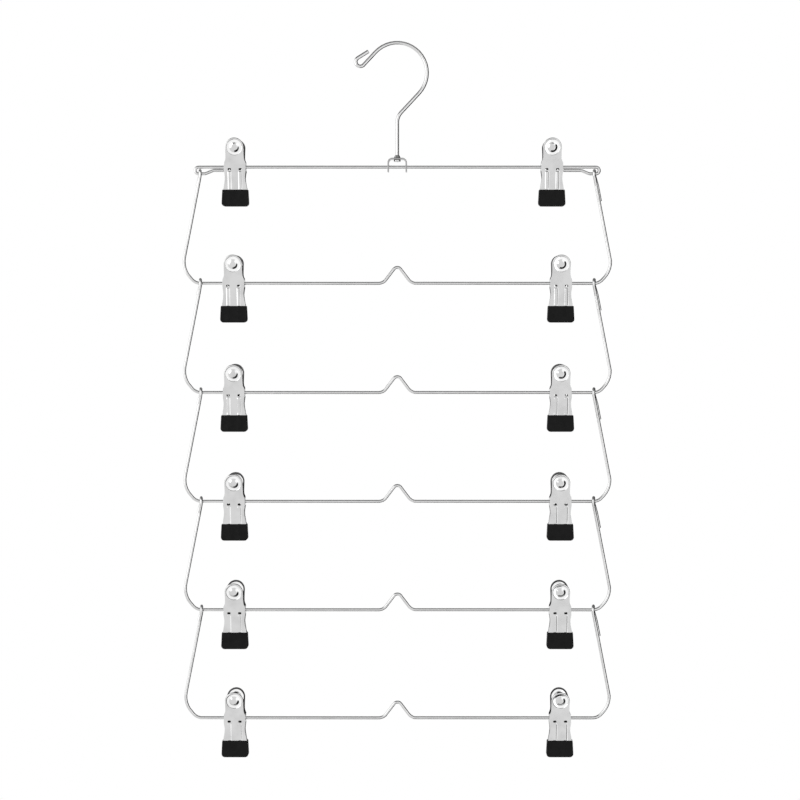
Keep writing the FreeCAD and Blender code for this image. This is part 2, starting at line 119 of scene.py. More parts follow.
def modify(piece, kind, **settings):
    choose(piece)
    modifier = piece.modifiers.new(kind, kind)
    for setting, value in settings.items():
        setattr(modifier, setting, value)
    bpy.ops.object.modifier_apply(modifier=modifier.name)


def softenEdges(piece, width, segments, angle):
    modify(piece, "BEVEL", width=width * mm, segments=segments, limit_method="ANGLE",
           angle_limit=math.radians(angle))


def cutAway(piece, tool):
    modify(piece, "BOOLEAN", object=tool, operation="DIFFERENCE", solver="EXACT")
    bpy.data.objects.remove(tool)


def borer(radius, length, place, turn):
    clearSelection()
    bpy.ops.mesh.primitive_cylinder_add(vertices=making["boreSides"], radius=radius * mm, depth=length * mm,
                                        location=Vector(place) * mm, rotation=turn)
    tool = bpy.context.object
    settle(tool)
    return tool


def block(size, centre):
    clearSelection()
    bpy.ops.mesh.primitive_cube_add(size=1, location=Vector(centre) * mm)
    piece = bpy.context.object
    piece.scale = Vector(size) * mm
    settle(piece)
    return piece


def rename(piece, name):
    choose(piece)
    bpy.ops.object.shade_smooth_by_angle(angle=math.radians(making["smoothAngle"]))
    piece.name = name
    piece.data.name = name
    return piece


def copyTo(master, name, place, turned=0):
    choose(master)
    bpy.ops.object.duplicate(linked=False)
    piece = bpy.context.object
    piece.location = place
    piece.rotation_euler = (0, 0, math.radians(turned))
    settle(piece)
    piece.name = name
    piece.data.name = name
    return piece


# wire bending

def frontPoint(centre, radius, degrees):
    angle = math.radians(degrees)
    return centre + Vector((math.cos(angle), 0, math.sin(angle))) * radius


def arcCorners(centre, radius, first, last, parts):
    # corners that lead a wire of this bend round the arc
    step = (last - first) / parts
    reach = radius / math.cos(math.radians(step / 2))
    return [frontPoint(centre, reach, first + step * (part + 0.5)) for part in range(parts)]


def withMirror(half, middle=()):
    # the right half, led by its mirror image
    return [Vector((-p.x, p.y, p.z)) for p in reversed(half)] + list(middle) + half


def pushRing(start, end):
    if (end - start).length > making["weld"]:
        extrude((end - start) * mm)


def bendAlong(corners, bends):
    # the selected ring is pushed along the runs and spun round the bends, as wire is bent by hand
    here = corners[0]
    for before, corner, after, bend in zip(corners, corners[1:], corners[2:], bends):
        wayIn = (corner - before).normalized()
        wayOut = (after - corner).normalized()
        turn = wayIn.angle(wayOut)
        start = corner - wayIn * bend * math.tan(turn / 2)
        pushRing(here, start)
        axis = wayIn.cross(wayOut).normalized()
        centre = (start + axis.cross(wayIn) * bend) * mm
        steps = max(wireWork["fewestSteps"], math.ceil(math.degrees(turn) / wireWork["stepAngle"]))
        bpy.ops.mesh.spin(steps=steps, angle=-turn, center=centre, axis=axis)
        here = corner + wayOut * bend * math.tan(turn / 2)
    pushRing(here, corners[-1])


def startRing(ringSides, wire, place, heading):
    clearSelection()
    bpy.ops.mesh.primitive_circle_add(vertices=ringSides, radius=wire / 2 * mm, fill_type="NOTHING",
                                      location=place * mm,
                                      rotation=heading.to_track_quat("Z", "Y").to_euler())
    piece = bpy.context.object
    settle(piece)
    return piece


def closeEnds(ringSides, inset, lift):
    # both cut ends are filled and lightly chamfered
    bpy.ops.mesh.select_all(action="SELECT")
    bpy.ops.mesh.fill_holes(sides=ringSides)
    bpy.ops.mesh.normals_make_consistent(inside=False)
    pick("FACE", lambda face: len(face.verts) == ringSides)
    bpy.ops.mesh.inset(thickness=inset * mm, depth=lift * mm)
    bpy.ops.object.mode_set(mode="OBJECT")


def makeWire(name, wire, corners, bends, ringSides=wireWork["sides"]):
    piece = startRing(ringSides, wire, corners[0], corners[1] - corners[0])
    edit(piece)
    bpy.ops.mesh.select_all(action="SELECT")
    bendAlong(corners, bends)
    closeEnds(ringSides, wire * wireWork["endInset"], wire * wireWork["endLift"])
    return rename(piece, name)


# finishes: each has a fresh and a worn tone, a smooth and a rough patch, and the sizes of blotches and grain

finishes = {
    "hookChrome": {"metallic": 1.0, "fresh": 0.66, "worn": 0.58, "smooth": 0.16, "rough": 0.27,
                   "blotches": 45.0, "grain": 1500.0, "bump": 0.03, "specular": 0.5},
    "barChrome": {"metallic": 1.0, "fresh": 0.66, "worn": 0.56, "smooth": 0.16, "rough": 0.28,
                  "blotches": 60.0, "grain": 1800.0, "bump": 0.03, "specular": 0.5},
    "saddlePlating": {"metallic": 1.0, "fresh": 0.44, "worn": 0.32, "smooth": 0.12, "rough": 0.28,
                      "blotches": 150.0, "grain": 2200.0, "bump": 0.04, "specular": 0.5},
    # the plate's colour is multiplied by its own attribute of painted highlight and painted shade
    "platePlating": {"metallic": 1.0, "fresh": 0.68, "worn": 0.58, "smooth": 0.08, "rough": 0.2,
                     "blotches": 110.0, "grain": 2600.0, "bump": 0.03, "specular": 0.5,
                     "tone": "paintedLightTone"},
    "springSteel": {"metallic": 1.0, "fresh": 0.3, "worn": 0.2, "smooth": 0.22, "rough": 0.4,
                    "blotches": 300.0, "grain": 3000.0, "bump": 0.05, "specular": 0.5},
    "blackRubber": {"metallic": 0.0, "fresh": 0.003, "worn": 0.008, "smooth": 0.42, "rough": 0.62,
                    "blotches": 260.0, "grain": 2400.0, "bump": 0.25, "specular": 0.12},
}
wear = {"blotchDetail": 5, "grainDetail": 3, "patchRange": (0.38, 0.72), "grainShare": 0.35,
        "maskRange": (0.1, 1.2), "bumpHeight": 0.2}


def addRange(nodes, limits):
    node = nodes.new("ShaderNodeMapRange")
    node.inputs["From Min"].default_value, node.inputs["From Max"].default_value = limits
    return node


def makeWearGroup():
    # blotches and fine drawn grain that tint, dull and roughen a surface
    group = bpy.data.node_groups.new("surfaceWear", "ShaderNodeTree")
    for direction, kind, names in (("INPUT", "NodeSocketColor", ("Fresh", "Worn")),
                                   ("INPUT", "NodeSocketFloat", ("Smooth", "Rough", "Blotches", "Grain")),
                                   ("OUTPUT", "NodeSocketColor", ("Color",)),
                                   ("OUTPUT", "NodeSocketFloat", ("Roughness", "Height"))):
        for name in names:
            group.interface.new_socket(name=name, in_out=direction, socket_type=kind)
    nodes = group.nodes
    link = group.links.new
    given = nodes.new("NodeGroupInput")
    result = nodes.new("NodeGroupOutput")
    place = nodes.new("ShaderNodeTexCoord")
    blotches = nodes.new("ShaderNodeTexNoise")
    blotches.inputs["Detail"].default_value = wear["blotchDetail"]
    grain = nodes.new("ShaderNodeTexNoise")
    grain.inputs["Detail"].default_value = wear["grainDetail"]
    for texture, size in ((blotches, "Blotches"), (grain, "Grain")):
        link(place.outputs["Object"], texture.inputs["Vector"])
        link(given.outputs[size], texture.inputs["Scale"])
    patches = addRange(nodes, wear["patchRange"])
    link(blotches.outputs["Fac"], patches.inputs["Value"])
    both = nodes.new("ShaderNodeMath")
    both.operation = "MULTIPLY_ADD"
    both.inputs[1].default_value = wear["grainShare"]
    link(grain.outputs["Fac"], both.inputs[0])
    link(patches.outputs["Result"], both.inputs[2])
    mask = addRange(nodes, wear["maskRange"])
    link(both.outputs["Value"], mask.inputs["Value"])
    tint = nodes.new("ShaderNodeMix")
    tint.data_type = "RGBA"
    rough = nodes.new("ShaderNodeMix")
    for blend, new, old, name in ((tint, "Fresh", "Worn", "Color"), (rough, "Smooth", "Rough", "Roughness")):
        link(mask.outputs["Result"], blend.inputs["Factor"])
        link(given.outputs[new], blend.inputs["A"])
        link(given.outputs[old], blend.inputs["B"])
        link(blend.outputs["Result"], result.inputs[name])
    link(grain.outputs["Fac"], result.inputs["Height"])
    return group


def grey(tone):
    return (tone, tone, tone, 1)


def makeFinish(name, group):
    finish = finishes[name]
    material = bpy.data.materials.new(name)
    material.use_nodes = True
    nodes = material.node_tree.nodes
    link = material.node_tree.links.new
    shader = nodes["Principled BSDF"]
    shader.inputs["Metallic"].default_value = finish["metallic"]
    shader.inputs["Specular IOR Level"].default_value = finish["specular"]
    surface = nodes.new("ShaderNodeGroup")
    surface.node_tree = group
    for socket in ("Fresh", "Worn"):
        surface.inputs[socket].default_value = grey(finish[socket.lower()])
    for socket in ("Smooth", "Rough", "Blotches", "Grain"):
        surface.inputs[socket].default_value = finish[socket.lower()]
    bump = nodes.new("ShaderNodeBump")
    bump.inputs["Strength"].default_value = finish["bump"]
    bump.inputs["Distance"].default_value = wear["bumpHeight"] * mm
    if "tone" in finish:  # the piece's own attribute multiplies its colour, as painted highlight and painted shade
        mark = nodes.new("ShaderNodeAttribute")
        mark.attribute_name = finish["tone"]
        toned = nodes.new("ShaderNodeMix")
        toned.data_type = "RGBA"
        toned.blend_type = "MULTIPLY"
        toned.inputs["Factor"].default_value = 1
        link(surface.outputs["Color"], toned.inputs["A"])
        link(mark.outputs["Color"], toned.inputs["B"])
        link(toned.outputs["Result"], shader.inputs["Base Color"])
    else:
        link(surface.outputs["Color"], shader.inputs["Base Color"])
    link(surface.outputs["Roughness"], shader.inputs["Roughness"])
    link(surface.outputs["Height"], bump.inputs["Height"])
    link(bump.outputs["Normal"], shader.inputs["Normal"])
    return material


wearGroup = makeWearGroup()
materials = {name: makeFinish(name, wearGroup) for name in finishes}
print("finishes ready:", len(materials))


def dress(piece, finish, slot, body, *nodes):
    piece.data.materials.clear()
    piece.data.materials.append(materials[finish])
    if nodes:
        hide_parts(*nodes)
    if body:
        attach(piece, body)
    return piece


# hook: folded lip, round crown, slanted throat and straight stem, kept by a collar and a peened head

hook = {"wire": 3.0, "wireSides": 24, "crownRadius": 24.3, "crownLeft": 47, "crownParts": 3, "throatLean": 43,
        "throatBend": 12, "lipRun": 14, "lipCurl": 3.7, "lipTurn": 195, "lipParts": 3, "lipTail": 10,
        "foot": -95.1, "collarBase": -92.1, "collarRadius": 2.7, "collarHeight": 2.4, "collarTaper": 0.72,
        "headRadius": 2.8, "headHeight": 1.6, "turnedSides": 32, "edgeShare": 0.2, "edgeSegments": 3}


def hookCorners():
    crown = Vector((0, 0, hook["wire"] / 2 - hook["crownRadius"]))
    left = 90 + hook["crownLeft"]
    runEnd = frontPoint(crown, hook["crownRadius"], left) + frontPoint(Vector(), hook["lipRun"], left + 90)
    curl = frontPoint(runEnd, hook["lipCurl"], left)
    curlLast = left - 180
    curlFirst = curlLast - hook["lipTurn"]
    tailStart = frontPoint(curl, hook["lipCurl"], curlFirst)
    tailEnd = tailStart + frontPoint(Vector(), hook["lipTail"], curlFirst - 90)
    throat = frontPoint(crown, hook["crownRadius"], -hook["throatLean"])
    throatFoot = Vector((0, 0, throat.z - throat.x / math.tan(math.radians(hook["throatLean"]))))
    corners = [tailEnd] + arcCorners(curl, hook["lipCurl"], curlFirst, curlLast, hook["lipParts"])
    corners += arcCorners(crown, hook["crownRadius"], left, -hook["throatLean"], hook["crownParts"])
    return corners + [throatFoot, Vector((0, 0, hook["foot"]))]


def turnCollar(name, base, radius, height, taper):
    clearSelection()
    bpy.ops.mesh.primitive_cylinder_add(vertices=hook["turnedSides"], radius=radius * mm, depth=height * mm,
                                        location=(0, 0, (base + height / 2) * mm))
    piece = bpy.context.object
    settle(piece)
    edit(piece)
    pick("EDGE", lambda edge: abs(edge.verts[0].co.z - edge.verts[1].co.z) / mm < making["touch"])
    bpy.ops.mesh.bevel(offset=height * hook["edgeShare"] * mm, segments=hook["edgeSegments"], affect="EDGES")
    pick("VERT", lambda vert: vertSpot(vert).z > base + height / 2)
    bpy.ops.transform.resize(value=(taper, taper, 1), center_override=(0, 0, 0))
    bpy.ops.object.mode_set(mode="OBJECT")
    dress(rename(piece, name), "hookChrome", "hook_wire", "hook")


def makeHook():
    bends = [hook["lipCurl"]] * hook["lipParts"] + [hook["crownRadius"]] * hook["crownParts"]
    wire = makeWire("hookWire", hook["wire"], hookCorners(), bends + [hook["throatBend"]], hook["wireSides"])
    dress(wire, "hookChrome", "hook_wire", "hook", "hook")
    turnCollar("hookCollar", hook["collarBase"], hook["collarRadius"], hook["collarHeight"],
               hook["collarTaper"])
    turnCollar("hookHead", hook["foot"], hook["headRadius"], hook["headHeight"], 1)


makeHook()
print("hook bent")

# saddle: a strip bent into an inverted U, bored for the bar and the stem

saddle = {"width": 15.9, "rise": 7.3, "fall": 4.1, "strip": 1.2, "depth": 9.0, "shoulder": 4.0, "bar": -99.5,
          "barBore": 1.35, "stemBore": 1.6, "edge": 0.3, "edgeSegments": 3}


def makeSaddle():
    reach = (saddle["width"] - saddle["strip"]) / 2
    top = saddle["bar"] + saddle["rise"] - saddle["strip"] / 2
    foot = saddle["bar"] - saddle["fall"]
    clearSelection()
    bpy.ops.mesh.primitive_plane_add(size=1, location=Vector((-reach, 0, foot)) * mm)
    strip = bpy.context.object
    strip.scale = (saddle["strip"] * mm, saddle["depth"] * mm, 1)
    settle(strip)
    edit(strip)
    bpy.ops.mesh.select_all(action="SELECT")
    bpy.ops.mesh.delete(type="ONLY_FACE")
    bpy.ops.mesh.select_all(action="SELECT")
    corners = [Vector((x, 0, z)) for x, z in ((-reach, foot), (-reach, top), (reach, top), (reach, foot))]
    bendAlong(corners, [saddle["shoulder"] - saddle["strip"] / 2] * 2)
    bpy.ops.mesh.select_all(action="SELECT")
    bpy.ops.mesh.fill_holes(sides=4)
    bpy.ops.mesh.normals_make_consistent(inside=False)
    bpy.ops.object.mode_set(mode="OBJECT")
    sideways = (0, math.radians(90), 0)
    cutAway(strip, borer(saddle["barBore"], saddle["width"] * 2, (0, 0, saddle["bar"]), sideways))
    cutAway(strip, borer(saddle["stemBore"], saddle["rise"], (0, 0, top), (0, 0, 0)))
    softenEdges(strip, saddle["edge"], saddle["edgeSegments"], making["bevelAngle"])
    dress(rename(strip, "saddleStrip"), "saddlePlating", "saddle", "top_bar", "swivel_saddle")


makeSaddle()
print("saddle bent and bored")

# top bar: each end folds back under itself into an eye

topBar = {"wire": 2.5, "level": -99.5, "eyeReach": 162.0, "eyeRadius": 2.7, "eyeRun": 5.5, "eyeClosing": 6.5,
          "leftTail": 141.7, "rightTail": 135.7, "foldGap": 0.2, "foldBend": 5.0}


def makeTopBar():
    level = topBar["level"]
    under = level - 2 * topBar["eyeRadius"]
    folded = level - topBar["wire"] - topBar["foldGap"]
    closing = topBar["eyeReach"] - topBar["eyeRun"]
    closed = closing - topBar["eyeClosing"]
    bow = topBar["eyeReach"] + topBar["eyeRadius"]
    half = [(bow, level), (bow, under), (closing, under), (closed, folded)]
    corners = withMirror([Vector((x, 0, z)) for x, z in half])
    corners.insert(0, Vector((-topBar["leftTail"], 0, folded)))
    corners.append(Vector((topBar["rightTail"], 0, folded)))
    bends = [topBar["foldBend"]] * 2 + [topBar["eyeRadius"]] * 4 + [topBar["foldBend"]] * 2
    wire = makeWire("topBarWire", topBar["wire"], corners, bends)
    dress(wire, "barChrome", "bar_wire", "top_bar", "top_bar")


makeTopBar()
print("top bar bent")

# tier frames: notch, bar, corners, leaning side wires, and hairpin loops laid back behind them

tier = {"wire": 2.5, "drop": 89.3, "loopReach": 160.8, "firstLoop": 2.7, "loopRadius": 3.1, "loopSlant": 0.5,
        "loopLeg": 1.5, "loopBend": 3.0, "loopClosing": 8.0, "loopTail": 12.5, "tailGap": 0.2,
        "tailAside": 1.3, "foldBend": 5.0, "turnReach": 164.8, "turnBend": 10.0, "cornerReach": 175.6,
        "cornerRise": 12.0, "cornerRadius": 19.0, "notchReach": 11.5, "notchApex": 15.4, "notchFoot": 8.0,
        "notchBend": 3.5}


def tierCorners(loopDepth):
    inner = tier["loopReach"] - tier["loopSlant"]
    outer = tier["loopReach"] + tier["loopSlant"]
    cornerLevel = tier["cornerRise"] - tier["drop"]
    lean = (inner - tier["cornerReach"]) / cornerLevel
    top = math.hypot(loopDepth, tier["loopSlant"])
    leg = -tier["loopLeg"]
    closed = leg - tier["loopClosing"]
    aside = tier["tailAside"] * math.hypot(1, lean)
    behind = math.sqrt((tier["wire"] + tier["tailGap"]) ** 2 - tier["tailAside"] ** 2)
    wireX = inner - closed * lean
    tail = closed - tier["loopTail"]
    half = [(tier["notchReach"], 0, -tier["drop"]), (tier["turnReach"], 0, -tier["drop"]),
            (tier["cornerReach"], 0, cornerLevel), (wireX, 0, closed),
            (inner, -loopDepth, leg), (inner, -loopDepth, top),
            (outer, loopDepth, top), (outer, loopDepth, leg),
            (wireX + aside, behind, closed), (wireX + aside - (tail - closed) * lean, behind, tail)]
    notch = [Vector((0, 0, tier["notchApex"] - tier["drop"]))]
    bends = [tier["notchFoot"], tier["turnBend"], tier["cornerRadius"], tier["foldBend"], tier["loopBend"],
             top, top, tier["loopBend"], tier["foldBend"]]
    return withMirror([Vector(p) for p in half], notch), bends[::-1] + [tier["notchBend"]] + bends


def makeFrames():
    # the first frame's loops are narrower, since they turn in the eyes of the top bar
    firstDepth = math.sqrt(tier["firstLoop"] ** 2 - tier["loopSlant"] ** 2)
    first = makeWire("firstFrame", tier["wire"], *tierCorners(firstDepth))
    plain = makeWire("plainFrame", tier["wire"], *tierCorners(tier["loopRadius"]))
    for row in rows[1:]:
        node = f"tier_{row}_frame"
        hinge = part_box(node)[0].z + (tier["wire"] / 2 + tier["drop"]) * mm
        wire = copyTo(first if row == 2 else plain, f"tier{row}Wire", (0, 0, hinge))
        dress(wire, "barChrome", "bar_wire", f"tier_{row}", node)
    bpy.data.objects.remove(first)
    bpy.data.objects.remove(plain)


makeFrames()
print("tier frames bent")

# clip plate: thumb end with a dished ring round a button, then rows pulled down to the jaw
# dishRings are insets and lifts from the rim to the button, rowTable is height, half width and depth

plate = {"sheet": 0.8, "skin": 0.42, "thumbRadius": 7.5, "thumbSides": 48, "thumbHeight": 15.5, "face": 4.4,
         "bendHeight": 3.0, "lean": 15.11,
         "dishRings": ((0.95, 0.0), (0.12, 0.0), (0.35, -0.5), (0.12, 0.0), (1.7, -0.3), (0.12, 0.0),
                       (1.7, 1.0), (0.12, 0.05), (1.3, 0.04)),
         # ring tone: painted highlight on the dish floor
         "ringInner": 4.1, "ringOuter": 6.2, "ringPaintedHighlight": 1.4,
         # inside tone: painted shade inside round the bar
         "insidePaintedShade": 0.12, "insideTurn": 0.3, "insideTop": 4.0, "insideBottom": -8.0,
         # edge tone: painted shade on the edges and the thumb's rim
         "edgePaintedShade": 0.2, "edgeTurn": 0.35,
         "rowTable": ((7.0, 7.3, 4.4), (5.2, 7.85, 4.4), (3.5, 8.7, 4.4), (2.4, 8.9, 4.4), (0.4, 8.9, 4.4),
                      (-1.1, 8.9, 4.4), (-2.9, 8.9, 4.4), (-3.6, 8.85, 4.4), (-4.6, 8.7, 4.3),
                      (-6.8, 8.35, 3.9), (-9.0, 8.2, 3.51), (-12.0, 8.55, 2.98), (-15.0, 9.15, 2.45),
                      (-17.0, 9.5, 2.1), (-18.4, 9.8, 2.1), (-24.0, 9.8, 2.1), (-30.5, 9.8, 2.1)),
         "fixedHalf": 5.85, "ribInner": 2.6, "ribOuter": 5.95, "ribTop": -3.6, "ribBottom": -18.4,
         "ribInset": 0.55, "ribLift": 0.42, "slotInner": 3.5, "slotOuter": 5.3, "slotRim": 6.5,
         "slotTop": -1.1, "slotBottom": -2.9, "slotStretch": 1.9, "flange": 0.9, "flangeEnd": -18.3,
         "smoothing": 2, "edge": 0.12, "edgeSegments": 2, "edgeAngle": 60,
         "ears": (-8.5, 7.6), "earRadius": 3.2, "earRoot": -4.15, "earBore": 1.4, "earBoreRun": 4.0}


def makeThumb():
    clearSelection()
    bpy.ops.mesh.primitive_circle_add(vertices=plate["thumbSides"], radius=plate["thumbRadius"] * mm,
                                      fill_type="NGON",
                                      location=Vector((0, -plate["face"], plate["thumbHeight"])) * mm,
                                      rotation=(math.radians(90), 0, 0))
    piece = bpy.context.object
    settle(piece)
    edit(piece)
    bpy.ops.mesh.select_all(action="SELECT")
    for inset, lift in plate["dishRings"]:
        bpy.ops.mesh.inset(thickness=inset * mm, depth=lift * mm)
    bpy.ops.mesh.poke()
    return piece


def pullRow(last, row):
    # the row is pulled down, and only its outer columns widen, so the ribs stay upright
    (lastHeight, lastHalf, lastDepth), (height, half, depth) = last, row
    extrude(Vector((0, lastDepth - depth, height - lastHeight)) * mm)
    fixed = plate["fixedHalf"]
    factor = (half - fixed) / (lastHalf - fixed)

    def onRow(vert):
        return abs(vertSpot(vert).z - height) < making["touch"]

    for side in (-1, 1):
        pick("VERT", lambda vert: onRow(vert) and side * vertSpot(vert).x > fixed)
        bpy.ops.transform.resize(value=(factor, 1, 1), center_override=(side * fixed * mm, 0, 0))
    pick("VERT", onRow)


def pullBlade():
    # the lower half of the thumb's rim is flattened into the first row, and the rest follow it down
    low = plate["thumbHeight"] + making["touch"]
    pick("EDGE", lambda edge: edge.is_boundary and max(vertSpot(vert).z for vert in edge.verts) < low)
    height, half = plate["rowTable"][0][:2]
    extrude((0, 0, 0))
    bpy.ops.transform.resize(value=(half / plate["thumbRadius"], 1, 0), center_override=(0, 0, height * mm))
    for last, row in zip(plate["rowTable"], plate["rowTable"][1:]):
        pullRow(last, row)


def onRib(face):
    spot = faceSpot(face)
    return (between(abs(spot.x), plate["ribInner"], plate["ribOuter"])
            and between(spot.z, plate["ribBottom"], plate["ribTop"]))


def onSlot(face):
    spot = faceSpot(face)
    return (between(abs(spot.x), plate["slotInner"], plate["slotOuter"])
            and between(spot.z, plate["slotBottom"], plate["slotTop"]))


def atSlotRim(spot):
    margin = making["touch"]
    return (abs(spot.x) < plate["slotRim"]
            and between(spot.z, plate["slotBottom"] - margin, plate["slotTop"] + margin))


def pressRibsAndSlots():
    pick("FACE", onRib)
    bpy.ops.mesh.inset(thickness=plate["ribInset"] * mm, depth=plate["ribLift"] * mm)
    pick("FACE", onSlot)
    bpy.ops.mesh.delete(type="FACE")
    middle = (plate["slotInner"] + plate["slotOuter"]) / 2
    for side in (-1, 1):
        pick("VERT", lambda vert: vert.is_boundary and side * vert.co.x > 0 and atSlotRim(vertSpot(vert)))
        bpy.ops.transform.resize(value=(plate["slotStretch"], 1, 1),
                                 center_override=(side * middle * mm, 0, 0))


def turnEdges():
    # the outer edge is turned back, down to the mouth of the pad
    def onEdge(edge):
        lowest = min(vertSpot(vert).z for vert in edge.verts)
        return edge.is_boundary and lowest > plate["flangeEnd"] and not atSlotRim(edgeSpot(edge))

    pick("EDGE", onEdge)
    extrude((0, plate["flange"] * mm, 0))


def leanThumb():
    # the thumb end leans out at the bend, and keeps its height and round face from the front
    bend = (0, -plate["face"] * mm, plate["bendHeight"] * mm)
    lean = math.radians(plate["lean"])
    pick("VERT", lambda vert: vertSpot(vert).z > plate["bendHeight"])
    bpy.ops.transform.rotate(value=-lean, orient_axis="X", center_override=bend)
    bpy.ops.transform.resize(value=(1, 1 / math.cos(lean), 1 / math.cos(lean)), center_override=bend)


def markPaintedLight(piece, toneOf):
    marks = piece.data.attributes.new("paintedLightTone", "FLOAT", "POINT")
    for vert, mark in zip(piece.data.vertices, marks.data):
        mark.value = toneOf(vert)


def platePaintedLight(vert):
    # painted highlight brightens the floor of the ring, and painted shade darkens the edges and the inside
    # round the bar
    spot = vertSpot(vert)
    fromButton = math.hypot(spot.x, spot.z - plate["thumbHeight"])
    inside = vert.normal.y > plate["insideTurn"]
    # painted highlight on the floor of the ring
    if between(fromButton, plate["ringInner"], plate["ringOuter"]):
        return plate["ringPaintedHighlight"]
    # painted shade inside round the bar
    if inside and between(spot.z, plate["insideBottom"], plate["insideTop"]):
        return plate["insidePaintedShade"]
    # painted shade on the edges and inside the thumb's rim
    onThumbRim = inside and spot.z > plate["insideTop"] and fromButton > plate["ringOuter"]
    return plate["edgePaintedShade"] if onThumbRim or abs(vert.normal.y) < plate["edgeTurn"] else 1


def makeEar(across):
    clearSelection()
    bpy.ops.mesh.primitive_cylinder_add(vertices=making["boreSides"], radius=plate["earRadius"] * mm,
                                        depth=plate["sheet"] * mm, location=(across * mm, 0, 0),
                                        rotation=(0, math.radians(90), 0))
    ear = bpy.context.object
    settle(ear)
    edit(ear)
    pick("VERT", lambda vert: vertSpot(vert).y < -making["touch"])
    bpy.ops.transform.resize(value=(1, 0, 1), center_override=(0, plate["earRoot"] * mm, 0))
    bpy.ops.object.mode_set(mode="OBJECT")
    cutAway(ear, borer(plate["earBore"], plate["earBoreRun"], (across, 0, 0), (0, math.radians(90), 0)))
    softenEdges(ear, plate["edge"], plate["edgeSegments"], making["bevelAngle"])
    markPaintedLight(ear, lambda vert: 1)
    return ear


def makePlate():
    piece = makeThumb()
    pullBlade()
    pressRibsAndSlots()
    turnEdges()
    leanThumb()
    bpy.ops.mesh.select_all(action="SELECT")
    bpy.ops.mesh.remove_doubles(threshold=making["weld"] * mm)
    bpy.ops.mesh.normals_make_consistent(inside=False)
    bpy.ops.object.mode_set(mode="OBJECT")
    modify(piece, "SUBSURF", levels=plate["smoothing"], render_levels=plate["smoothing"],
           boundary_smooth="PRESERVE_CORNERS")
    modify(piece, "SOLIDIFY", thickness=plate["skin"] * mm, offset=-1)
    softenEdges(piece, plate["edge"], plate["edgeSegments"], plate["edgeAngle"])
    # the plate's painted highlight and painted shade go into its attribute
    markPaintedLight(piece, platePaintedLight)
    ears = [makeEar(across) for across in plate["ears"]]
    choose(piece)
    for ear in ears:
        ear.select_set(True)
    bpy.ops.object.join()
    return rename(piece, "plateMaster")


# rubber pad: a flared cap with round lower corners and a mouth for the end of the plate

pad = {"top": -18.4, "bottom": -32.0, "topHalf": 10.5, "bottomHalf": 11.2, "face": 3.2, "bite": 0.1,
       "corner": 3.0, "cornerSegments": 8, "shoulder": 0.6, "shoulderSegments": 3,
       "rim": 0.8, "rimSegments": 4, "backRim": 0.25, "backRimSegments": 2,
       "mouthHalf": 9.85, "mouthFront": 2.15, "mouthBack": 1.6, "mouthFloor": -30.55,
       "ridges": (-4.25, 4.25), "ridgeHalf": 0.75, "ridgeSide": 0.35, "ridgeHeight": 0.16}


def roundEdges(offset, segments):
    bpy.ops.mesh.bevel(offset=offset * mm, segments=segments, affect="EDGES")


def raiseRidges():
    # two faint upright ridges are left standing where the face is set back a little
    half = pad["ridgeHalf"]
    for ridge in pad["ridges"]:
        for across in (-half - pad["ridgeSide"], -half, half, half + pad["ridgeSide"]):
            bpy.ops.mesh.select_all(action="SELECT")
            bpy.ops.mesh.bisect(plane_co=((ridge + across) * mm, 0, 0), plane_no=(1, 0, 0))

    def besideRidges(vert):
        spot = vertSpot(vert)
        onFace = spot.y < making["touch"] - pad["face"]
        return onFace and all(abs(spot.x - ridge) > half + making["touch"] for ridge in pad["ridges"])

    pick("VERT", besideRidges)
    bpy.ops.transform.translate(value=(0, pad["ridgeHeight"] * mm, 0))


def makePad():
    def atSide(edge, level):
        spot = edgeSpot(edge)
        return abs(spot.z - level) < making["touch"] and abs(spot.x) > pad["topHalf"] / 2

    piece = block((2 * pad["topHalf"], pad["face"] - pad["bite"], pad["top"] - pad["bottom"]),
                  (0, -(pad["face"] + pad["bite"]) / 2, (pad["top"] + pad["bottom"]) / 2))
    edit(piece)
    pick("FACE", lambda face: face.normal.z < -making["facing"])
    bpy.ops.transform.resize(value=(pad["bottomHalf"] / pad["topHalf"], 1, 1), center_override=(0, 0, 0))
    pick("EDGE", lambda edge: atSide(edge, pad["bottom"]))
    roundEdges(pad["corner"], pad["cornerSegments"])
    pick("EDGE", lambda edge: atSide(edge, pad["top"]))
    roundEdges(pad["shoulder"], pad["shoulderSegments"])
    pick("FACE", lambda face: face.normal.y < -making["facing"])
    bpy.ops.mesh.region_to_loop()
    roundEdges(pad["rim"], pad["rimSegments"])
    pick("FACE", lambda face: face.normal.y > making["facing"])
    bpy.ops.mesh.region_to_loop()
    roundEdges(pad["backRim"], pad["backRimSegments"])
    raiseRidges()
    bpy.ops.object.mode_set(mode="OBJECT")
    mouth = block((2 * pad["mouthHalf"], pad["mouthFront"] - pad["mouthBack"], -pad["mouthFloor"]),
                  (0, -(pad["mouthFront"] + pad["mouthBack"]) / 2, pad["mouthFloor"] / 2))
    cutAway(piece, mouth)
    return rename(piece, "padMaster")


# torsion spring: coils round the bar, with a leg up the inside of each thumb end

spring = {"wire": 1.0, "wireSides": 10, "coil": 2.093, "lean": 15.11, "turns": 6, "pitch": 1.6, "leg": 13.0,
          "stepAngle": 15, "endInset": 0.1, "endLift": 0.05}


def coilPoint(degrees, across):
    angle = math.radians(degrees)
    return Vector((across, spring["coil"] * math.cos(angle), spring["coil"] * math.sin(angle)))


def coilWay(degrees):
    angle = math.radians(degrees)
    return Vector((0, -math.sin(angle), math.cos(angle)))


